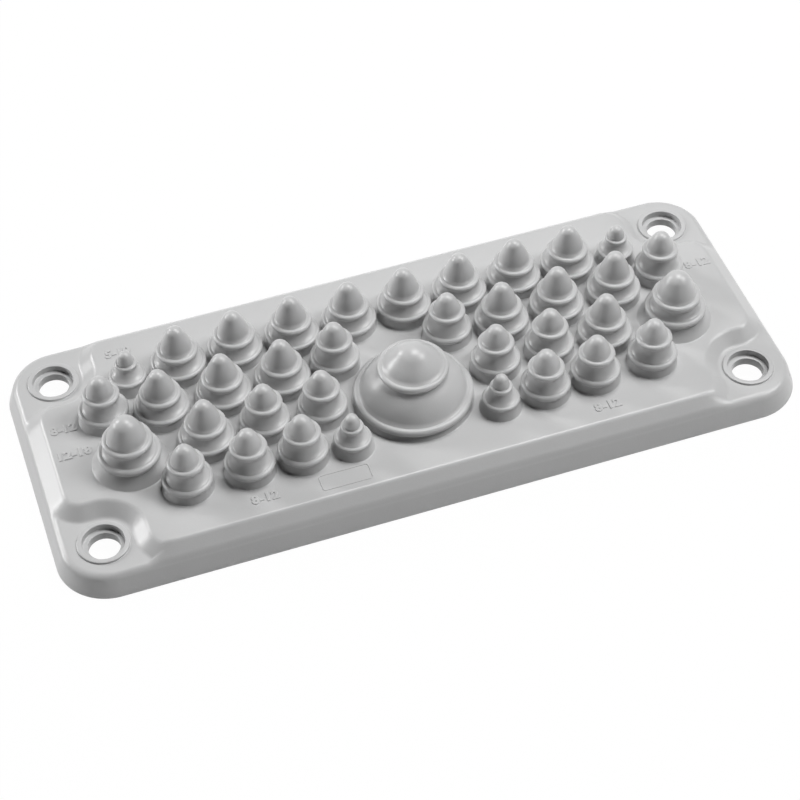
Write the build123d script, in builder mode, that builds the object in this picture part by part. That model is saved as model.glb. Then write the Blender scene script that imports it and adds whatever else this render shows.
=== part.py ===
from build123d import *
from dataclasses import dataclass
from math import acos, atan2, cos, hypot, radians, sin, tan
import os

# A cable entry plate, moulded in one piece: a flange with four screw holes, a raised
# middle, and nozzles with thin membranes that a cable is pushed through.
# Millimetres. The origin is the middle of the flat underside, X runs along the plate,
# Z points out of the cabinet, to the side that the nozzles stand on.

# Flange
length = 221.2
width = 92.0
corner_radius = 15.1
flange_height = 7.0
flange_edge_radius = 2.6
side_draft = 18.5  # degrees, on the outer wall

# Raised middle
raised_height = 10.5
end_slope_inset = 3.1  # foot of the end slope, from the plate's end
end_slope_angle = 50.0  # degrees from upright, at the ends and in the notches
side_slope_angle = 47.0  # along the long sides
side_blend_radius = 5.0  # between the slope and the outer wall, along the long sides
notch_radius = 8.6  # foot of the notch wall, around a screw hole
notch_end_flare = 8.5
notch_side_flare = 12.0

# Screw holes, one in each corner
hole_from_end = 14.0
hole_from_side = 14.4
hole_radius = 4.55
counterbore_radius = 6.0
counterbore_depth = 2.0
collar_radius = 7.5
collar_rise = 0.6

# Underside: a lip around the edge, and a recess under the raised middle
plate_thickness = 4.0  # of the flange inside the lip, and of the deck that carries the nozzles
lip_width = 4.0
recess_from_side = 8.0
pad_radius = 13.8  # solid flange left around each screw hole
recess_corner_radius = 3.0
recess_draft = 3.0  # degrees


@dataclass
class Nozzle:
    """Outline of a nozzle above the deck: radius and height of each shoulder, from below."""

    base_radius: float
    low_radius: float
    low_height: float
    high_radius: float
    high_height: float
    tip_height: float
    tip_radius: float
    shoulder: float  # how far each shoulder is cut back
    wall: float
    flank_swell: float  # how far the wall under the upper shoulder stands out halfway
    cone_swell: float  # and the cone above it


small = Nozzle(6.4, 5.5, 3.75, 3.35, 8.5, 12.95, 2.0, 0.65, 1.0, 0.1, 0.15)
medium = Nozzle(7.6, 7.3, 3.55, 5.4, 9.8, 16.4, 2.7, 0.9, 1.2, 0.15, 0.25)
large = Nozzle(8.4, 8.15, 3.05, 6.15, 7.8, 16.7, 2.7, 0.9, 1.2, 0.15, 0.3)
extra = Nozzle(11.1, 9.1, 4.7, 7.2, 9.55, 18.1, 4.2, 1.0, 1.2, 0.15, 0.3)
centre = Nozzle(17.8, 17.4, 2.5, 10.3, 12.75, 20.3, 6.8, 1.2, 1.4, 0.8, 0.25)

# Middle points of the nozzles on the right half. The left half mirrors them.
nozzle_places = [
    (small, 76.0, 20.5),
    (large, 60.7, 21.4),
    (large, 43.5, 21.6),
    (large, 26.1, 21.5),
    (large, 8.55, 21.3),
    (medium, 85.8, 10.0),
    (large, 69.6, 6.5),
    (large, 51.3, 6.3),
    (large, 33.7, 5.9),
    (medium, 17.3, 7.5),
    (extra, 82.8, -8.9),
    (large, 60.5, -8.9),
    (medium, 43.2, -8.6),
    (medium, 26.3, -9.2),
    (medium, 69.7, -22.6),
    (medium, 51.85, -23.0),
    (medium, 36.35, -23.2),
    (small, 22.2, -24.5),
    (centre, 0, -12.4),
]

cut_overlap = 1.0  # how far a cut runs on past the face that it opens


half_length = length / 2
half_width = width / 2
hole_x = half_length - hole_from_end
hole_y = half_width - hole_from_side
seat_z = flange_height - plate_thickness  # underside of the flange inside the lip
recess_z = raised_height - plate_thickness  # underside of the deck

# Along the long sides the slope starts at the top of the outer wall
slope_foot_y = half_width - flange_height * tan(radians(side_draft))
slope_top_y = slope_foot_y - (raised_height - flange_height) * tan(radians(side_slope_angle))

# At the ends and in the notches the slope starts inside the flange, at the height where the
# flange's rounded edge starts
slope_start = flange_height - flange_edge_radius * (1 - sin(radians(side_draft)))


def corner_points(sketch, x, y):
    """The four points of a sketch at plus and minus x and y."""
    return sketch.vertices().filter_by(
        lambda point: abs(abs(point.X) - x) + abs(abs(point.Y) - y) < 0.01
    )


def drafted_block(height):
    """The plate's outline raised to a height, with its drafted wall."""
    with BuildPart() as block:
        with BuildSketch() as foot:
            RectangleRounded(length, width, corner_radius)
        extrude(amount=height, taper=side_draft)
    return block.part


def notched_outline(plane, half_x, half_y, notch, end_flare, side_flare):
    """A rectangle with a rounded notch at each corner, its inner wall at the radius notch from the hole."""
    notch_x = hole_x - notch
    notch_y = hole_y - notch
    with BuildSketch(plane) as outline:
        Rectangle(2 * half_x, 2 * half_y)
        with GridLocations(notch_x + half_x, notch_y + half_y, 2, 2):
            Rectangle(half_x - notch_x, half_y - notch_y, mode=Mode.SUBTRACT)
        fillet(corner_points(outline, half_x, notch_y), end_flare)
        fillet(corner_points(outline, notch_x, half_y), side_flare)
        fillet(corner_points(outline, notch_x, notch_y), notch)
    return outline.sketch


def slope_outline(height):
    """The outline of the raised middle's slope at a height: wider below its foot, narrower above."""
    spread = (flange_height - height) * tan(radians(end_slope_angle))
    return notched_outline(
        Plane.XY.offset(height),
        half_length - end_slope_inset + spread,
        half_width + spread,
        notch_radius - spread,
        notch_end_flare + spread,
        notch_side_flare + spread,
    )


def tip_tangent(nozzle, foot_radius, foot_height):
    """Where a cone from the given foot runs into the round tip: a point of the tip's circle."""
    middle = nozzle.tip_height - nozzle.tip_radius
    reach = hypot(foot_radius, foot_height - middle)
    turn = atan2(foot_height - middle, foot_radius) + acos(nozzle.tip_radius / reach)
    return nozzle.tip_radius * cos(turn), middle + nozzle.tip_radius * sin(turn)


def swelled(start, end, rise):
    """An arc from start to end that stands out by rise halfway."""
    reach = hypot(end[0] - start[0], end[1] - start[1])
    across = rise * (end[1] - start[1]) / reach
    up = rise * (start[0] - end[0]) / reach
    return ThreePointArc(start, ((start[0] + end[0]) / 2 + across, (start[1] + end[1]) / 2 + up), end)


def nozzle_body(nozzle):
    """A nozzle standing on z = 0: two shoulders, each cut back, a cone and a round tip."""
    base = (nozzle.base_radius, 0)
    low_edge = (nozzle.low_radius, nozzle.low_height)
    flank_foot = (nozzle.low_radius - nozzle.shoulder, nozzle.low_height + nozzle.shoulder)
    high_edge = (nozzle.high_radius, nozzle.high_height)
    cone_foot = (nozzle.high_radius - nozzle.shoulder, nozzle.high_height + nozzle.shoulder)
    cone_top = tip_tangent(nozzle, *cone_foot)
    with BuildPart() as body:
        with BuildSketch(Plane.XZ) as half:
            with BuildLine() as outline:
                Polyline(base, low_edge, flank_foot)
                swelled(flank_foot, high_edge, nozzle.flank_swell)
                Line(high_edge, cone_foot)
                swelled(cone_foot, cone_top, nozzle.cone_swell)
                RadiusArc(cone_top, (0, nozzle.tip_height), -nozzle.tip_radius)
                Polyline((0, nozzle.tip_height), (0, 0), base)
            make_face()
        revolve(axis=Axis.Z)
    return body.part


def nozzle_hollow(nozzle):
    """The tapered space inside a nozzle, from below the deck up into its round tip."""
    core = nozzle.base_radius - nozzle.wall
    bottom = -plate_thickness - cut_overlap
    top_radius = nozzle.tip_radius / 2
    top = (top_radius, nozzle.tip_height - top_radius - nozzle.wall / 2)
    with BuildPart() as hollow:
        with BuildSketch(Plane.XZ) as half:
            with BuildLine() as outline:
                Polyline((0, bottom), (core, bottom), (core, 0), top, (0, top[1]), close=True)
            make_face()
        revolve(axis=Axis.Z)
    return hollow.part


def spots(kind):
    """Where the nozzles of one kind stand on the deck."""
    right = [(x, y, raised_height) for nozzle, x, y in nozzle_places if nozzle is kind]
    return right + [(-x, y, z) for x, y, z in right if x > 0]


# Raised middle: a section across the plate, cut by a sloped outline that leaves the corners free,
# and by the plate's outer wall
with BuildPart() as raised:
    with BuildSketch(Plane.YZ) as cross_section:
        with BuildLine() as half_section:
            Polyline(
                (0, 0),
                (half_width, 0),
                (slope_foot_y, flange_height),
                (slope_top_y, raised_height),
                (0, raised_height),
            )
            mirror(about=Plane.YZ)
        make_face()
        fillet(corner_points(cross_section, slope_foot_y, flange_height), side_blend_radius)
    extrude(amount=half_length, both=True)
    loft([slope_outline(slope_start), slope_outline(raised_height)], ruled=True, mode=Mode.INTERSECT)
    add(drafted_block(raised_height), mode=Mode.INTERSECT)

with BuildPart() as plate:
    # Flange and raised middle
    add(drafted_block(flange_height))
    fillet(plate.faces().sort_by(Axis.Z)[-1].edges(), flange_edge_radius)
    add(raised.part)

    # Underside
    with BuildSketch() as lip_inside:
        RectangleRounded(length - 2 * lip_width, width - 2 * lip_width, corner_radius - lip_width)
    extrude(amount=seat_z, mode=Mode.SUBTRACT)
    recess_top = notched_outline(
        Plane.XY.offset(recess_z),
        half_length - recess_from_side,
        half_width - recess_from_side,
        pad_radius,
        recess_corner_radius,
        recess_corner_radius,
    )
    extrude(recess_top, -recess_z, taper=-recess_draft, mode=Mode.SUBTRACT)

    # Screw holes, each in a low collar
    with BuildSketch(Plane.XY.offset(flange_height)) as collars:
        with GridLocations(2 * hole_x, 2 * hole_y, 2, 2):
            Circle(collar_radius)
    extrude(amount=collar_rise)
    with Locations(Plane.XY.offset(flange_height + collar_rise)):
        with GridLocations(2 * hole_x, 2 * hole_y, 2, 2):
            CounterBoreHole(hole_radius, counterbore_radius, counterbore_depth)

    # Nozzles
    for kind in (small, medium, large, extra, centre):
        with Locations(*spots(kind)):
            add(nozzle_body(kind))
            add(nozzle_hollow(kind), mode=Mode.SUBTRACT)

plate.part.label = "entry_plate"
os.makedirs("parts", exist_ok=True)
export_step(plate.part, "parts/entry_plate.step")
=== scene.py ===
"""A cable entry plate, moulded in one piece from soft grey plastic, dressed and lit for its picture.

The mesh is one closed skin. It is worked out in millimetres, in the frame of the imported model: the
origin is the middle of the flat underside, X runs along the plate and Z points out of the cabinet.
"""
import math

import bmesh
import bpy
import numpy as np
from mathutils import Matrix, Vector
from mathutils.geometry import delaunay_2d_cdt


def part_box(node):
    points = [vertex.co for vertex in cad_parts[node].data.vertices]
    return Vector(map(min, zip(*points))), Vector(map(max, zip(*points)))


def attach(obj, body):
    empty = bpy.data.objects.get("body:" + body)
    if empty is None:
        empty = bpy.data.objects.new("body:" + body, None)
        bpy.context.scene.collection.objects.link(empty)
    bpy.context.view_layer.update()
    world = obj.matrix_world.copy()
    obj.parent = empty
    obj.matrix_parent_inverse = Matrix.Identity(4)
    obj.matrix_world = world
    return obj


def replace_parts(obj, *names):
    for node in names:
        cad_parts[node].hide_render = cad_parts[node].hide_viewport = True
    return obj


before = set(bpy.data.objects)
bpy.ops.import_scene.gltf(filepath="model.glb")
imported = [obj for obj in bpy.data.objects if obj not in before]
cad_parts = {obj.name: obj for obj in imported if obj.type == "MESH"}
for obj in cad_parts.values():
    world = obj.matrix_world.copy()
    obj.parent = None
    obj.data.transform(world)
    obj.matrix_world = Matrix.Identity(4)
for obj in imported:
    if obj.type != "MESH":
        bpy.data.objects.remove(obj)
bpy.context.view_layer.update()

MM = 0.001
plate_low, plate_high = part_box("entry_plate")

# Plate, with its outline at the level of the seat
HALF_LENGTH = (plate_high[0] - plate_low[0]) / 2 / MM
HALF_WIDTH = (plate_high[1] - plate_low[1]) / 2 / MM
CORNER_RADIUS = 15.1
DRAFT = math.radians(18.5)
END_SLOPE = math.radians(50)
SIDE_SLOPE = math.radians(47)
PAD_Z = 7.0
DECK_Z = 10.5
END_FOOT = HALF_LENGTH - 3.1
SEAT_EDGE = 0.25
PAD_EDGE = 2.6  # radius between the wall and a pad
SIDE_EDGE = 5.0  # radius between the wall and the slope along a long side

# How far the soft creases reach, as a difference in height
DECK_EDGE = 0.7
SLOPE_FOOT = 0.5
END_EDGE = 1.4  # between the wall and the slope at an end
FLARE_RIDGE = 1.2  # where the slope of an end meets the slope of a side

# Insets from the outline between which the crease at the slope's foot comes in
CREASE_START = 2.5
CREASE_RUN = 1.2

# Screw holes, and the notches that the raised middle leaves around them
HOLE_X = HALF_LENGTH - 14.0
HOLE_Y = HALF_WIDTH - 14.4
NOTCH = 8.6
END_FLARE = 8.5
SIDE_FLARE = 12.0
HOLE_RADIUS = 4.55
COUNTERBORE_RADIUS = 6.0
COUNTERBORE_Z = 5.6
COLLAR_RADIUS = 7.5
COLLAR_Z = 7.6
HOLE_AROUND = 56  # faces around a screw hole

# Underside
LIP_WIDTH = 4.0
SEAT_Z = 3.0
CEILING_Z = 6.5
RECESS_INSET = 8.0
RECESS_CORNER = 3.0
RECESS_NOTCH = 13.8
RECESS_DRAFT = math.radians(3)

# Nozzles: radius at the deck, then radius and height above the deck of the widest point of each
# bead with the bead's own radius, height and radius of the round tip, thickness of the wall, how
# far the flank between the beads and the cone above them stand out halfway, and the number of
# faces around the nozzle and up its flank
NOZZLES = {
    "small": dict(base=6.4, low=(5.5, 3.75, 0.62), high=(3.35, 8.5, 0.6), tip=12.95, round=2.0,
                  wall=1.0, flank=0.1, swell=0.15, around=32, rows=1),
    "medium": dict(base=7.6, low=(7.3, 3.55, 0.88), high=(5.4, 9.8, 0.84), tip=16.4, round=2.7,
                   wall=1.2, flank=0.15, swell=0.25, around=40, rows=1),
    "large": dict(base=8.4, low=(8.15, 3.03, 0.8), high=(6.15, 7.8, 0.88), tip=16.7, round=2.7,
                  wall=1.2, flank=0.15, swell=0.3, around=40, rows=1),
    "extra": dict(base=11.1, low=(9.1, 4.7, 1.05), high=(7.2, 9.55, 0.95), tip=18.1, round=4.2,
                  wall=1.2, flank=0.15, swell=0.3, around=48, rows=1),
    "centre": dict(base=17.8, low=(17.4, 2.5, 1.15), high=(10.3, 12.75, 0.95), tip=20.3, round=6.8,
                   wall=1.4, flank=0.8, swell=0.25, around=64, rows=6),
}

# Middles of the nozzles on the right half. The left half mirrors them.
PLACES = [
    ("small", 76.0, 20.5),
    ("large", 60.7, 21.4),
    ("large", 43.5, 21.6),
    ("large", 26.1, 21.5),
    ("large", 8.55, 21.3),
    ("medium", 85.8, 10.0),
    ("large", 69.6, 6.5),
    ("large", 51.3, 6.3),
    ("large", 33.7, 5.9),
    ("medium", 17.3, 7.5),
    ("extra", 82.8, -8.9),
    ("large", 60.5, -8.9),
    ("medium", 43.2, -8.6),
    ("medium", 26.3, -9.2),
    ("medium", 69.7, -22.6),
    ("medium", 51.85, -23.0),
    ("medium", 36.35, -23.2),
    ("small", 22.2, -24.5),
]
CENTRE_PLACE = ("centre", 0.0, -12.4)

notch_x = HOLE_X - NOTCH
notch_y = HOLE_Y - NOTCH
side_top = HALF_WIDTH - PAD_Z * math.tan(DRAFT) - (DECK_Z - PAD_Z) * math.tan(SIDE_SLOPE)
FLAT = 0.04  # width of the flat ring that keeps the shading of a flat face clean


# Heights of the upper side

def soft_min(a, b, reach):
    """The lower of two heights, with a parabola over the crease where they differ by less than reach."""
    share = np.clip(0.5 + 0.5 * (b - a) / reach, 0, 1)
    return b + (a - b) * share - reach * share * (1 - share)


def soft_max(a, b, reach):
    """The higher of two heights, with the same parabola in the hollow."""
    return -soft_min(-a, -b, reach)


def box_distance(x, y, half_x, half_y, radius):
    """Distance outside a rounded rectangle, negative inside: length of the part past the corner
    circle's middle, less the circle's radius."""
    past_x = np.abs(x) - half_x + radius
    past_y = np.abs(y) - half_y + radius
    outside = np.hypot(np.maximum(past_x, 0), np.maximum(past_y, 0))
    return outside + np.minimum(np.maximum(past_x, past_y), 0) - radius


def slope_distance(x, y):
    """Distance outside the foot of the raised middle: a long and a broad rounded rectangle joined,
    with a concave circle around the screw hole where they meet."""
    along = box_distance(x, y, END_FOOT, notch_y, END_FLARE)
    across = box_distance(x, y, notch_x, HALF_WIDTH, SIDE_FLARE)
    corner = np.hypot(np.maximum(NOTCH - along, 0), np.maximum(NOTCH - across, 0))
    return np.maximum(NOTCH, np.minimum(along, across)) - corner


def rounded_wall(inset, lean, radius):
    """Height at an inset from the outline: the drafted wall up to the level of the pads, a circle's
    arc, then a face that leans from upright by the given angle."""
    reach = radius * math.tan((lean - DRAFT) / 2)
    middle = PAD_Z * math.tan(DRAFT) - reach * math.sin(DRAFT) + radius * math.cos(DRAFT)
    middle_z = PAD_Z - reach * math.cos(DRAFT) - radius * math.sin(DRAFT)
    arc_height = middle_z + np.sqrt(np.maximum(radius ** 2 - (middle - inset) ** 2, 0))
    face = PAD_Z + (inset - PAD_Z * math.tan(DRAFT)) / math.tan(lean)
    height = np.where(inset < middle - radius * math.cos(DRAFT), inset / math.tan(DRAFT), arc_height)
    return np.where(inset > middle - radius * math.cos(lean), face, height)


def top_height(x, y):
    """Height of the upper side: the pads with their rounded edge, joined with the raised middle, whose
    slopes run into the deck and, except on the wall, out of the pads with a softened crease."""
    inset = -box_distance(x, y, HALF_LENGTH, HALF_WIDTH, CORNER_RADIUS)
    pads = rounded_wall(inset, math.pi / 2, PAD_EDGE)
    side = rounded_wall(HALF_WIDTH - np.abs(y), SIDE_SLOPE, SIDE_EDGE)
    ends = PAD_Z - slope_distance(x, y) / math.tan(END_SLOPE)
    raised = soft_min(soft_min(side, ends, FLARE_RIDGE), DECK_Z, DECK_EDGE)
    raised = soft_min(raised, inset / math.tan(DRAFT), END_EDGE)
    joined = np.maximum(raised, pads)
    crease = np.clip((inset - CREASE_START) / CREASE_RUN, 0, 1)
    return joined + (soft_max(raised, pads, SLOPE_FOOT) - joined) * crease


# Outlines

def line(start, end, count):
    """Points evenly along a line, without the last one."""
    share = np.arange(count)[:, None] / count
    return np.array(start) * (1 - share) + np.array(end) * share


def arc(middle, radius, start, end, count):
    """Points evenly along a circle's arc, from start to end degrees, without the last one."""
    angle = np.radians(start + (end - start) * np.arange(count) / count)
    return np.array(middle) + radius * np.column_stack((np.cos(angle), np.sin(angle)))


def all_round(quarter):
    """A closed outline from its first quarter, which is mirrored in both axes."""
    half = np.concatenate((quarter, (quarter * [-1, 1])[::-1][1:]))
    return np.concatenate((half, (half * [1, -1])[::-1][1:-1]))


def all_round_mask(quarter):
    """The same for a mark on each point of the outline."""
    half = np.concatenate((quarter, quarter[::-1][1:]))
    return np.concatenate((half, half[::-1][1:-1]))


def notched_quarter(half_x, half_y, notch, end_flare, side_flare, inset):
    """A quarter of a rectangle with rounded notches around the screw holes, each side moved inwards
    by inset."""
    inner_x = HOLE_X - notch
    inner_y = HOLE_Y - notch
    return np.concatenate((
        line((half_x - inset, 0), (half_x - inset, inner_y - end_flare), 6),
        arc((half_x - end_flare, inner_y - end_flare), end_flare - inset, 0, 90, 10),
        line((half_x - end_flare, inner_y - inset), (HOLE_X, inner_y - inset), 4),
        arc((HOLE_X, HOLE_Y), notch + inset, 270, 180, 24),
        line((inner_x - inset, HOLE_Y), (inner_x - inset, half_y - side_flare), 4),
        arc((inner_x - side_flare, half_y - side_flare), side_flare - inset, 0, 90, 10),
        line((inner_x - side_flare, half_y - inset), (0, half_y - inset), 20),
        [(0, half_y - inset)],
    ))


# Skin

def faces_between(rows):
    """Four-sided faces between neighbouring rows of point numbers that each close round."""
    ahead = np.roll(rows, -1, axis=1)
    faces = np.stack((rows[:-1], ahead[:-1], ahead[1:], rows[1:]), axis=-1)
    return faces.reshape(-1, 4).tolist()


class Skin:
    """A closed mesh sewn from grids and flat fills that share the points along their seams."""

    def __init__(self):
        self.points = []
        self.faces = []
        self.count = 0

    def add(self, points):
        """Takes in an array of points and gives back their numbers, in the same layout."""
        points = np.asarray(points, float)
        numbers = self.count + np.arange(points[..., 0].size).reshape(points.shape[:-1])
        self.points.append(points.reshape(-1, 3))
        self.count += points[..., 0].size
        return numbers

    def sew(self, rows):
        """Four-sided faces between neighbouring rows of numbers, each row closed round to its start."""
        self.faces += faces_between(rows)

    def cap(self, ring, tip):
        """Triangles from a ring of numbers to one point."""
        pole = self.add([tip])[0]
        self.faces += np.column_stack((ring, np.roll(ring, -1), np.full(len(ring), pole))).tolist()

    def fill(self, edges):
        """A flat face bounded by edges, given as pairs of numbers, cut into triangles. A triangle is
        kept where a line from its middle along X crosses the edges an odd number of times."""
        numbers, corners = np.unique(edges, return_inverse=True)
        corners = corners.reshape(-1, 2)
        flat = np.concatenate(self.points)[numbers, :2]
        _, _, triangles, sources, _, _ = delaunay_2d_cdt(
            [Vector(point) for point in flat.tolist()], corners.tolist(), [], 1, 1e-6)
        triangles = np.array([source[0] for source in sources])[np.array(triangles)]
        x, y = flat[triangles].mean(axis=1).T[..., None]
        (start_x, start_y), (end_x, end_y) = np.moveaxis(flat[corners], (0, 1, 2), (2, 0, 1))
        spans = (start_y > y) != (end_y > y)
        with np.errstate(divide="ignore", invalid="ignore"):
            crossing = start_x + (y - start_y) / (end_y - start_y) * (end_x - start_x)
        inside = np.sum(spans & (crossing > x), axis=1) % 2 == 1
        self.faces += numbers[triangles[inside]].tolist()

    def mesh(self, name):
        """The mesh in metres, smooth, with its faces turned outwards."""
        mesh = bpy.data.meshes.new(name)
        mesh.from_pydata((np.concatenate(self.points) * MM).tolist(), [], self.faces)
        turn_outwards(mesh)
        mesh.shade_smooth()
        return mesh


def turn_outwards(mesh, joined=0):
    """Turns the faces of a closed mesh outwards, once points nearer than joined are made one."""
    solid = bmesh.new()
    solid.from_mesh(mesh)
    if joined:
        bmesh.ops.remove_doubles(solid, verts=solid.verts, dist=joined)
    bmesh.ops.recalc_face_normals(solid, faces=solid.faces)
    solid.to_mesh(mesh)
    solid.free()


def loop_edges(ring):
    """The edges of a closed ring of numbers."""
    return np.column_stack((ring, np.roll(ring, -1)))


def ease(before, corner, after, steps):
    """A rounded corner of a profile: the parabola from before to after whose sides meet at corner."""
    t = np.linspace(0, 1, steps)[:, None]
    before, corner, after = np.array(before), np.array(corner), np.array(after)
    return before * (1 - t) ** 2 + corner * 2 * t * (1 - t) + after * t ** 2


def turned(profile, place, around):
    """A profile of radius and height turned about an upright axis: a row of points for each point
    of the profile, at its radius times cosine and sine of the angle."""
    angle = 2 * math.pi * np.arange(around) / around
    radius, height = np.array(profile).T
    return np.stack((
        place[0] + np.outer(radius, np.cos(angle)),
        place[1] + np.outer(radius, np.sin(angle)),
        np.outer(height, np.ones(around)),
    ), axis=-1)


def share_rows(start, end, rows):
    """Rows of points on the lines from start to end, laid on the upper side. On each line they lie
    closer where it bends, in equal shares of its length plus BEND times its turning."""
    BEND = 2.5
    STEPS = 240  # in which a line is measured
    t = np.linspace(0, 1, STEPS + 1)
    flat = start[:, None] + (end - start)[:, None] * t[:, None]
    height = top_height(flat[..., 0], flat[..., 1])
    run = np.hypot(*np.moveaxis(np.diff(flat, axis=1), -1, 0))
    rise = np.diff(height, axis=1)
    tilt = np.arctan2(rise, run)
    turning = np.abs(np.diff(tilt, axis=1, prepend=tilt[:, :1]))
    share = np.cumsum(np.hypot(run, rise) + BEND * turning, axis=1)
    share = np.pad(share / share[:, -1:], ((0, 0), (1, 0)))
    lane = 2.0 * np.arange(len(start))[:, None]
    wanted = np.linspace(0, 1, rows) + lane
    t = (np.interp(wanted, (share + lane).ravel(), (t + lane).ravel()) - lane)[..., None]
    flat = start[:, None] * (1 - t) + end[:, None] * t
    return on_top(flat).swapaxes(0, 1)


def on_top(flat):
    """Plan points lifted onto the upper side."""
    return np.concatenate((flat, top_height(flat[..., 0], flat[..., 1])[..., None]), axis=-1)


def at_height(flat, z):
    """Plan points lifted to one height."""
    return np.pad(flat, ((0, 0), (0, 1)), constant_values=z)


# The plate

RIM_INSET = 4.26  # where the flat of a pad has begun, from the outline
FOOT_OUT = 0.58  # where it ends again, from the foot of the slope
DECK_IN = 4.65  # where the deck is flat, from the foot of the slope
DECK_SIDE_IN = 0.9  # and from the top of the slope along a side
DECK_SIDE = side_top - DECK_SIDE_IN
END_STATIONS, STRAIGHT_STATIONS, CORNER_STATIONS, SIDE_STATIONS = 14, 10, 56, 32
SLOPE_ROWS = 19
WALL_ROWS, EDGE_ROWS = 4, 14

flare_middle = (notch_x - SIDE_FLARE, HALF_WIDTH - SIDE_FLARE)
end_middle = (END_FOOT - END_FLARE, notch_y - END_FLARE)
end_turn = math.degrees(math.acos((HALF_LENGTH - RIM_INSET - end_middle[0]) / (END_FLARE + FOOT_OUT)))
end_y = end_middle[1] + (END_FLARE + FOOT_OUT) * math.sin(math.radians(end_turn))
side_turn = math.degrees(math.asin((HALF_WIDTH - RIM_INSET - flare_middle[1]) / (SIDE_FLARE + FOOT_OUT)))
side_x = flare_middle[0] + (SIDE_FLARE + FOOT_OUT) * math.cos(math.radians(side_turn))
deck_turn = math.degrees(math.asin((DECK_SIDE - flare_middle[1]) / (SIDE_FLARE - DECK_IN)))
deck_x = flare_middle[0] + (SIDE_FLARE - DECK_IN) * math.cos(math.radians(deck_turn))


def rim_quarter(inset):
    """A quarter of the plate's outline, moved inwards by inset."""
    x, y = HALF_LENGTH, HALF_WIDTH
    middle = (x - CORNER_RADIUS, y - CORNER_RADIUS)
    return np.concatenate((
        line((x - inset, 0), (x - inset, end_y), END_STATIONS),
        line((x - inset, end_y), (x - inset, middle[1]), STRAIGHT_STATIONS),
        arc(middle, CORNER_RADIUS - inset, 0, 90, CORNER_STATIONS),
        line((middle[0], y - inset), (side_x, y - inset), STRAIGHT_STATIONS),
        line((side_x, y - inset), (0, y - inset), SIDE_STATIONS),
        [(0, y - inset)],
    ))


def slope_quarter(inset, turn, top_x, top_y):
    """A quarter of the notched outline, moved inwards by inset, from its end flare to the side,
    which it meets at top_x, top_y."""
    return np.concatenate((
        arc(end_middle, END_FLARE - inset, end_turn, 90, 10),
        line((end_middle[0], notch_y - inset), (HOLE_X, notch_y - inset), 8),
        arc((HOLE_X, HOLE_Y), NOTCH + inset, 270, 180, 40),
        line((notch_x - inset, HOLE_Y), (notch_x - inset, flare_middle[1]), 6),
        arc(flare_middle, SIDE_FLARE - inset, 0, turn, 16),
        line((top_x, top_y), (0, top_y), SIDE_STATIONS),
        [(0, top_y)],
    ))


def build_rim(skin):
    """The seat, the wall and the edge of the plate, carried around its outline, up to the pads.
    Gives the innermost rings below and above, and which points of the upper one the slope shares."""
    seat_round = 0.2
    foot = SEAT_EDGE * (math.tan(DRAFT) + 1 / math.cos(DRAFT))
    wall_start = foot - SEAT_EDGE * math.cos(DRAFT)
    profile = np.concatenate((
        [(LIP_WIDTH + seat_round + FLAT, SEAT_Z)],
        ease((LIP_WIDTH + seat_round, SEAT_Z), (LIP_WIDTH, SEAT_Z), (LIP_WIDTH, SEAT_Z - seat_round), 4),
        ease((LIP_WIDTH, seat_round), (LIP_WIDTH, 0), (LIP_WIDTH - seat_round, 0), 4),
        [(LIP_WIDTH - seat_round - FLAT, 0), (foot + FLAT, 0)],
    ))
    angle = np.radians(np.linspace(270, 180 - math.degrees(DRAFT), 6))
    edge = np.column_stack((foot + SEAT_EDGE * np.cos(angle), SEAT_EDGE + SEAT_EDGE * np.sin(angle)))
    profile = np.concatenate((profile, edge))
    rings = [at_height(all_round(rim_quarter(s)), z) for s, z in profile]
    arc_middle = PAD_Z * math.tan(DRAFT) + PAD_EDGE * math.tan(math.pi / 4 - DRAFT / 2)
    arc_start = arc_middle - PAD_EDGE * math.cos(DRAFT)
    arc_inset = arc_middle - PAD_EDGE * np.cos(np.linspace(DRAFT, math.pi / 2, EDGE_ROWS))
    wall = np.concatenate((np.linspace(wall_start, arc_start, WALL_ROWS)[1:-1], arc_inset, [RIM_INSET]))
    rings += [on_top(all_round(rim_quarter(s))) for s in wall]
    rows = skin.add(np.stack(rings))
    skin.sew(rows)
    quarter = np.zeros(len(rim_quarter(0)), bool)
    quarter[:END_STATIONS + 1] = True
    quarter[-SIDE_STATIONS - 1:] = True
    return rows[0], rows[-1], all_round_mask(quarter)


def build_slope(skin, rim, rim_shared):
    """The slope of the raised middle, from the rim or a pad up to the deck. Gives the deck's outline."""
    foot = np.concatenate((
        line((HALF_LENGTH - RIM_INSET, 0), (HALF_LENGTH - RIM_INSET, end_y), END_STATIONS),
        slope_quarter(-FOOT_OUT, side_turn, side_x, HALF_WIDTH - RIM_INSET),
    ))
    turn = math.radians(end_turn)
    top_start = np.array(end_middle) + (END_FLARE - DECK_IN) * np.array((math.cos(turn), math.sin(turn)))
    top = np.concatenate((
        line((END_FOOT - DECK_IN, 0), top_start, END_STATIONS),
        slope_quarter(DECK_IN, deck_turn, deck_x, DECK_SIDE),
    ))
    rows = share_rows(all_round(foot), all_round(top), SLOPE_ROWS)
    quarter = np.zeros(len(foot), bool)
    quarter[:END_STATIONS + 1] = True
    quarter[-SIDE_STATIONS - 1:] = True
    shared = all_round_mask(quarter)
    numbers = np.empty(rows.shape[:2], int)
    numbers[1:] = skin.add(rows[1:])
    numbers[0, shared] = rim[rim_shared]
    numbers[0, ~shared] = skin.add(rows[0, ~shared])
    skin.sew(numbers)
    return numbers[0], shared, numbers[-1]


def open_edges(ring, shared):
    """The edges of a ring that lie along a pad, where not both ends are shared."""
    edges = loop_edges(ring)
    return edges[~(shared & np.roll(shared, -1))]


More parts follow.
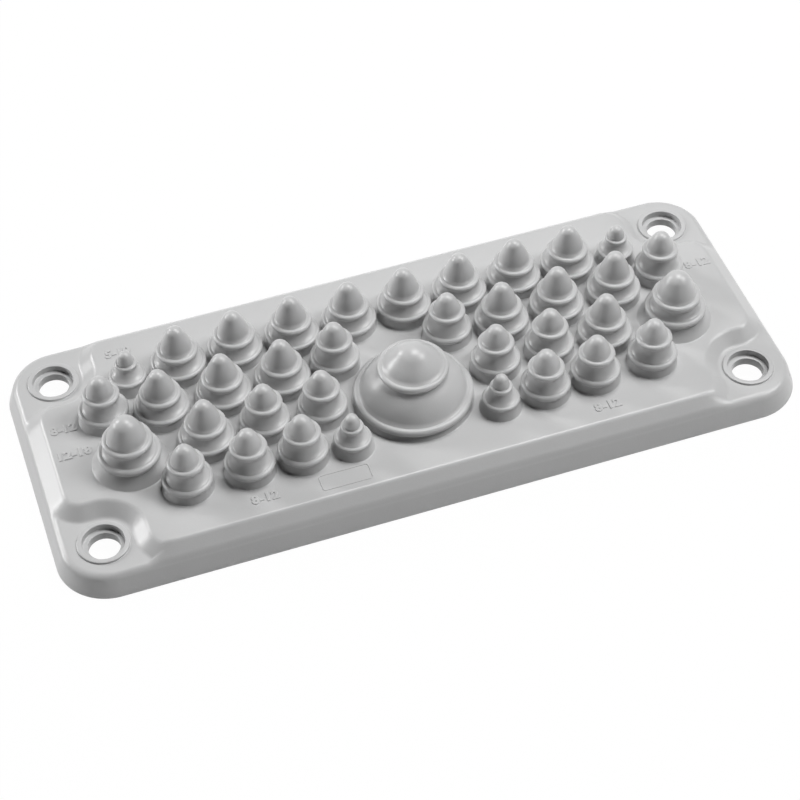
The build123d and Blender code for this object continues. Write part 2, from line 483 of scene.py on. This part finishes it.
def build_screw_hole(skin, place):
    """Collar, counterbore and hole, turned. Gives its rings in the pad and in the seat."""
    soft = 0.2
    lean = 0.05  # of the collar's wall
    collar = COLLAR_RADIUS - lean
    bore, ledge = COUNTERBORE_RADIUS, COUNTERBORE_Z
    profile = np.concatenate((
        [(COLLAR_RADIUS + FLAT, PAD_Z), (COLLAR_RADIUS, PAD_Z)],
        ease((COLLAR_RADIUS - 0.04, PAD_Z + 0.2), (collar, COLLAR_Z), (collar - 0.3, COLLAR_Z), 5),
        ease((bore + soft, COLLAR_Z), (bore, COLLAR_Z), (bore, COLLAR_Z - soft), 4),
        ease((bore, ledge + soft), (bore, ledge), (bore - soft, ledge), 4),
        ease((HOLE_RADIUS + soft, ledge), (HOLE_RADIUS, ledge), (HOLE_RADIUS, ledge - soft), 4),
        ease((HOLE_RADIUS, SEAT_Z + soft), (HOLE_RADIUS, SEAT_Z), (HOLE_RADIUS + soft, SEAT_Z), 4),
        [(HOLE_RADIUS + soft + FLAT, SEAT_Z)],
    ))
    rows = skin.add(turned(profile, place, HOLE_AROUND))
    skin.sew(rows)
    return rows[0], rows[-1]


def build_recess(skin):
    """The drafted wall of the recess, carried around its outline. Gives its rings in the seat and in
    the ceiling."""
    soft = 0.25
    lean = (CEILING_Z - SEAT_Z) * math.tan(RECESS_DRAFT)
    profile = np.concatenate((
        [(-lean - soft - FLAT, SEAT_Z)],
        ease((-lean - soft, SEAT_Z), (-lean, SEAT_Z), (-lean, SEAT_Z + soft), 4),
        ease((0, CEILING_Z - soft), (0, CEILING_Z), (soft, CEILING_Z), 4),
        [(soft + FLAT, CEILING_Z)],
    ))
    half_x = HALF_LENGTH - RECESS_INSET
    half_y = HALF_WIDTH - RECESS_INSET
    size = (half_x, half_y, RECESS_NOTCH, RECESS_CORNER, RECESS_CORNER)
    rings = [at_height(all_round(notched_quarter(*size, s)), z) for s, z in profile]
    rows = skin.add(np.stack(rings))
    skin.sew(rows)
    return rows[0], rows[-1]


# Nozzles

TOE = 0.25  # how far the foot of a nozzle is eased into the deck
TOE_IN = 0.2  # where its wall starts, inside its radius at the deck
HOLLOW_SOFT = 0.3  # rounding of the mouth of the space inside
HOLLOW_AROUND = 24
OFF_BEAD = np.array((0.12, 0.02))  # in and down from a bead's last point, where the next face starts


def bead(radius, height, size):
    """A rounded bead: a circle's arc from its undercut, past its widest point, to just over its top."""
    UNDER, OVER, POINTS = -75, 112, 8
    angle = np.radians(np.linspace(UNDER, OVER, POINTS))
    return np.column_stack((radius - size + size * np.cos(angle), height + size * np.sin(angle)))


def nozzle_profile(kind):
    """The outer profile from the deck to the tip: a toe, a drafted wall, a bead that overhangs it, a
    narrower wall, a second bead, and a cone that runs into the round tip."""
    corner = np.array((kind["base"] - TOE_IN, 0.0))
    low = bead(*kind["low"])
    high = bead(*kind["high"])
    up = (low[0] - corner) / np.hypot(*(low[0] - corner))
    wall = ease(corner + (TOE, 0), corner, corner + up * TOE, 4)
    middle = kind["tip"] - kind["round"]
    skirt = low[-1] - OFF_BEAD
    below = high[-1] - OFF_BEAD
    reach = math.hypot(below[0], below[1] - middle)
    turn = math.atan2(below[1] - middle, below[0]) + math.acos(kind["round"] / reach)
    angle = np.linspace(turn, math.pi / 2, 7)[:-1]
    tip = np.column_stack((kind["round"] * np.cos(angle), middle + kind["round"] * np.sin(angle)))
    cone = swell(below, tip[0], kind["swell"], 4)
    flank = undercut(skirt, high[0])
    bulge = swell(skirt, flank[0], kind["flank"], kind["rows"])
    foot = [corner + (TOE + FLAT, 0)]
    return np.concatenate((foot, wall, undercut(wall[-1], low[0]), low, bulge, flank, high, cone, tip))


def swell(start, end, rise, count):
    """Points along a parabola from start to end that stands out by rise halfway, without the last one."""
    out = np.array((end[1] - start[1], start[0] - end[0])) / np.hypot(*(end - start))
    return ease(start, (start + end) / 2 + out * 2 * rise, end, count + 1)[:-1]


def undercut(start, end):
    """A straight wall that turns out into the underside of a bead: an eased corner just below it."""
    REACH = 0.25
    corner = end - (0.04, 0.08)
    up = (corner - start) / np.hypot(*(corner - start))
    return np.concatenate(([corner - up * 2 * REACH], ease(corner - up * REACH, corner, end, 3)[:-1]))


def build_nozzle(skin, kind, place):
    """One nozzle and the tapered space inside it, each turned. Gives its rings in the deck and in
    the ceiling."""
    middle = (place[0], place[1])
    profile = nozzle_profile(kind) + (0, DECK_Z)
    rows = skin.add(turned(profile, middle, kind["around"]))
    skin.sew(rows)
    skin.cap(rows[-1], (*middle, DECK_Z + kind["tip"]))
    core = kind["base"] - kind["wall"]
    top = (kind["round"] / 2, DECK_Z + kind["tip"] - kind["round"] / 2 - kind["wall"] / 2)
    mouth = core + HOLLOW_SOFT
    inside = np.concatenate((
        [(mouth + FLAT, CEILING_Z)],
        ease((mouth, CEILING_Z), (core, CEILING_Z), (core, CEILING_Z + HOLLOW_SOFT), 4),
        [(core, DECK_Z)],
        ease(np.array(top) + (0.12, -0.4), top, (top[0] - 0.4, top[1]), 3),
    ))
    rows_in = skin.add(turned(inside, middle, HOLLOW_AROUND))
    skin.sew(rows_in)
    skin.cap(rows_in[-1], (*middle, top[1]))
    return rows[0], rows_in[0]


def build_plate():
    """The whole moulding as one closed mesh."""
    skin = Skin()
    seat_outer, rim, rim_shared = build_rim(skin)
    foot, foot_shared, deck_outer = build_slope(skin, rim, rim_shared)
    holes = [build_screw_hole(skin, (x, y)) for x in (-HOLE_X, HOLE_X) for y in (-HOLE_Y, HOLE_Y)]
    seat_inner, ceiling_outer = build_recess(skin)
    places = PLACES + [(name, -x, y) for name, x, y in PLACES] + [CENTRE_PLACE]
    nozzles = [build_nozzle(skin, NOZZLES[name], (x, y)) for name, x, y in places]
    pads = [open_edges(rim, rim_shared), open_edges(foot, foot_shared)]
    seat = [loop_edges(seat_outer), loop_edges(seat_inner)]
    skin.fill(np.concatenate(pads + [loop_edges(hole[0]) for hole in holes]))
    skin.fill(np.concatenate([loop_edges(deck_outer)] + [loop_edges(nozzle[0]) for nozzle in nozzles]))
    skin.fill(np.concatenate(seat + [loop_edges(hole[1]) for hole in holes]))
    skin.fill(np.concatenate([loop_edges(ceiling_outer)] + [loop_edges(nozzle[1]) for nozzle in nozzles]))
    return skin.mesh("moulded_plate")


# Raised marks on the deck: cable sizes in millimetres beside some nozzles, and an empty label frame

# Each mark is its numerals, the place of its middle and its width
SIZE_MARKS = [
    ("8-12", -98.1, 9.6, 7.6),
    ("12-18", -96.9, -0.4, 9.6),
    ("5-10", -76.3, 33.7, 7.6),
    ("8-12", -50.9, -34.0, 8.0),
    ("8-12", 51.0, -34.4, 8.0),
    ("8-12", 98.4, 9.9, 8.0),
]
DIGIT = 3.3  # height of a numeral
MARK_HEIGHT = 0.22
MARK_DEPTH = 0.1  # how far a mark is sunk into the deck
FRAME_BOX = (-34.9, -37.3, -20.4, -31.9)
FRAME_CORNER = 0.8
FRAME_PROFILE = ((-0.24, -MARK_DEPTH), (-0.08, 0.12), (0.08, 0.12), (0.24, -MARK_DEPTH))


def numeral_mesh(words, x, y, width):
    """Raised numerals as points and faces: a closed outline of the plain built-in lettering, brought
    to a width and to DIGIT height, with its middle at x, y."""
    curve = bpy.data.curves.new("numerals", "FONT")
    curve.body = words
    curve.resolution_u = 2
    curve.offset = 0.012
    curve.extrude = 0.012
    curve.bevel_depth = 0.035
    curve.bevel_resolution = 1
    source = bpy.data.objects.new("numerals", curve)
    mesh = bpy.data.meshes.new_from_object(source)
    bpy.data.objects.remove(source)
    points = np.empty(len(mesh.vertices) * 3)
    mesh.vertices.foreach_get("co", points)
    points = points.reshape(-1, 3)
    low, high = points.min(axis=0), points.max(axis=0)
    size = np.array((width, DIGIT, MARK_HEIGHT + MARK_DEPTH))
    corner = (x - width / 2, y - DIGIT / 2, DECK_Z - MARK_DEPTH)
    points = (points - low) / (high - low) * size + corner
    faces = [list(face.vertices) for face in mesh.polygons]
    bpy.data.meshes.remove(mesh)
    return points, faces


def frame_mesh():
    """The label frame: a low ridge carried around a rounded rectangle, closed below the deck."""
    STEP = 15  # degrees
    x0, y0, x1, y1 = FRAME_BOX
    half = np.array(((x1 - x0) / 2, (y1 - y0) / 2))
    angle = np.radians(np.arange(STEP / 2, 360, STEP))
    outwards = np.column_stack((np.cos(angle), np.sin(angle)))
    middle = (half - FRAME_CORNER) * np.sign(outwards)
    rings = []
    for out, height in FRAME_PROFILE:
        ring = middle + (FRAME_CORNER + out) * outwards
        rings.append(at_height(ring + ((x0 + x1) / 2, (y0 + y1) / 2), DECK_Z + height))
    rows = np.arange(len(rings) * len(angle)).reshape(len(rings), -1)
    return np.concatenate(rings), faces_between(np.concatenate((rows, rows[:1])))


def marks_mesh():
    """All marks as one mesh in metres."""
    points, faces, count = [], [], 0
    for part_points, part_faces in [numeral_mesh(*mark) for mark in SIZE_MARKS] + [frame_mesh()]:
        points.append(part_points)
        faces += [[count + number for number in face] for face in part_faces]
        count += len(part_points)
    mesh = bpy.data.meshes.new("raised_marks")
    mesh.from_pydata((np.concatenate(points) * MM).tolist(), [], faces)
    turn_outwards(mesh, joined=1e-7)
    return mesh


# Materials

class Socket:
    """A shader value, with the operators that add Math nodes."""

    def __init__(self, nodes, socket):
        self.nodes = nodes
        self.socket = socket

    def math(self, operation, other):
        return self.nodes.make("ShaderNodeMath", dict(operation=operation), {0: self, 1: other})

    def __add__(self, other):
        return self.math("ADD", other)

    def __mul__(self, other):
        return self.math("MULTIPLY", other)

    __radd__ = __add__
    __rmul__ = __mul__


class Nodes:
    """The node tree of a material."""

    def __init__(self, name):
        self.material = bpy.data.materials.new(name)
        self.material.use_nodes = True
        self.tree = self.material.node_tree
        self.tree.nodes.clear()

    def make(self, kind, settings=None, inputs=None, output=0):
        """Adds a node, sets its settings, then the values or links of its sockets, and gives one output."""
        node = self.tree.nodes.new(kind)
        for name, value in (settings or {}).items():
            setattr(node, name, value)
        for name, value in (inputs or {}).items():
            if isinstance(value, Socket):
                self.tree.links.new(value.socket, node.inputs[name])
            else:
                node.inputs[name].default_value = value
        return Socket(self, node.outputs[output]) if len(node.outputs) else None

    def noise(self, place, scale, detail=2.0):
        values = {"Vector": place, "Scale": scale, "Detail": detail}
        return self.make("ShaderNodeTexNoise", None, values)


def moulding_material():
    """Soft grey moulding: a semi-matt skin with the faint grain of the mould and slow changes of tone."""
    nodes = Nodes("moulded_grey")
    place = nodes.make("ShaderNodeTexCoord", output="Object")
    cloud = nodes.noise(place, 60.0, 3.0)
    grain = nodes.noise(place, 2600.0, 2.0)
    flow = nodes.noise(place, 420.0, 2.0)
    tone = nodes.make("ShaderNodeMix", dict(data_type="RGBA"), {
        0: cloud * 0.5 + grain * 0.5,
        6: (0.445, 0.446, 0.447, 1.0),
        7: (0.49, 0.491, 0.492, 1.0),
    }, output=2)
    height = grain * 0.6 + flow * 0.4
    values = {"Strength": 0.5, "Distance": 0.00007, "Height": height}
    bump = nodes.make("ShaderNodeBump", None, values)
    skin = nodes.make("ShaderNodeBsdfPrincipled", None, {
        "Base Color": tone,
        "Roughness": 0.26 + cloud * 0.06 + grain * 0.06,
        "Normal": bump,
        "IOR": 1.47,
    })
    nodes.make("ShaderNodeOutputMaterial", None, {"Surface": skin})
    return nodes.material


def floor_material():
    """A white table: it shows almost plain white to the camera and in reflections, and keeps a little
    of the plate's shadow."""
    nodes = Nodes("white_table")
    matt = nodes.make("ShaderNodeBsdfDiffuse", None, {"Color": (0.8, 0.8, 0.8, 1.0)})
    white = nodes.make("ShaderNodeEmission", None, {"Color": (1.0, 1.0, 1.0, 1.0), "Strength": 1.0})
    camera = nodes.make("ShaderNodeLightPath", output="Is Camera Ray")
    glossy = nodes.make("ShaderNodeLightPath", output="Is Glossy Ray")
    through = nodes.make("ShaderNodeLightPath", output="Is Transmission Ray")
    seen = (camera + glossy + through) * 0.98
    nodes.make("ShaderNodeOutputMaterial", None, {
        "Surface": nodes.make("ShaderNodeMixShader", None, {0: seen, 1: matt, 2: white}),
    })
    return nodes.material


# Pieces

def piece_from(mesh, name, material):
    """An object of the plate at the origin, riding with it."""
    mesh.materials.clear()
    mesh.materials.append(material)
    piece = bpy.data.objects.new(name, mesh)
    bpy.context.collection.objects.link(piece)
    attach(piece, "root")
    return piece


moulding = moulding_material()
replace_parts(piece_from(build_plate(), "moulded_plate", moulding), "entry_plate")
piece_from(marks_mesh(), "raised_marks", moulding)


# Table, light and camera

def lamp(name, turn, rise, distance, size, power):
    """A square soft box aimed at the plate, turned around it from X and raised above the table by
    degrees, with its distance and size in metres and its power in watts."""
    light = bpy.data.lights.new(name, "AREA")
    light.shape = "SQUARE"
    light.size = size
    light.energy = power
    turn, rise = math.radians(turn), math.radians(rise)
    outwards = Vector((math.cos(turn) * math.cos(rise), math.sin(turn) * math.cos(rise), math.sin(rise)))
    aim = (-outwards).to_track_quat("-Z", "Y").to_matrix().to_4x4()
    box = bpy.data.objects.new(name, light)
    box.matrix_world = Matrix.Translation(outwards * distance) @ aim
    bpy.context.collection.objects.link(box)


TABLE_GAP = 0.00002  # keeps the table's face from lying in the seat's
TABLE = 6.0  # half its width, in metres
table = bpy.data.meshes.new("table")
corners = [(-TABLE, -TABLE, 0), (TABLE, -TABLE, 0), (TABLE, TABLE, 0), (-TABLE, TABLE, 0)]
table.from_pydata(corners, [], [(0, 1, 2, 3)])
table.materials.append(floor_material())
table_object = bpy.data.objects.new("table", table)
table_object.location.z = plate_low[2] - TABLE_GAP
bpy.context.collection.objects.link(table_object)

# The world is plain white to the camera and gives no light
world = bpy.data.worlds.new("studio")
world.use_nodes = True
sky = world.node_tree.nodes["Background"]
sky.inputs["Color"].default_value = (1.0, 1.0, 1.0, 1.0)
seen_by = world.node_tree.nodes.new("ShaderNodeLightPath")
world.node_tree.links.new(seen_by.outputs["Is Camera Ray"], sky.inputs["Strength"])
bpy.context.scene.world = world

lamp("left_low_box", 148, 13, 2.0, 0.6, 18.5)
lamp("left_box", 130, 30, 2.0, 0.36, 13.0)
lamp("front_box", 275, 14, 1.0, 0.3, 0.28)
lamp("top_box", 40, 70, 1.0, 0.4, 6.7)
lamp("right_box", 348, 50, 1.5, 0.6, 12.4)

# The camera stands where the photograph was taken from: focal length in pixels of an 800 pixel
# picture, place in millimetres, and the directions that it looks along and holds level
PICTURE = 800
FOCAL_PIXELS = 2156.28
SENSOR = 36.0
CAMERA_PLACE = (-127.728, -406.993, 471.351)
AZIMUTH = math.radians(17.390)
ELEVATION = math.radians(48.103)
ROLL = math.radians(1.856)

forward = Vector((
    math.sin(AZIMUTH) * math.cos(ELEVATION),
    math.cos(AZIMUTH) * math.cos(ELEVATION),
    -math.sin(ELEVATION),
))
level_right = Vector((math.cos(AZIMUTH), -math.sin(AZIMUTH), 0))
level_up = level_right.cross(forward)
right = level_right * math.cos(ROLL) - level_up * math.sin(ROLL)
up = right.cross(forward)
lens = bpy.data.cameras.new("camera")
lens.sensor_width = SENSOR
lens.lens = FOCAL_PIXELS / PICTURE * SENSOR
camera = bpy.data.objects.new("camera", lens)
turn = Matrix((right, up, -forward)).transposed().to_4x4()
camera.matrix_world = Matrix.Translation(Vector(CAMERA_PLACE) * MM) @ turn
bpy.context.collection.objects.link(camera)
bpy.context.scene.camera = camera
bpy.context.scene.view_settings.view_transform = "Standard"
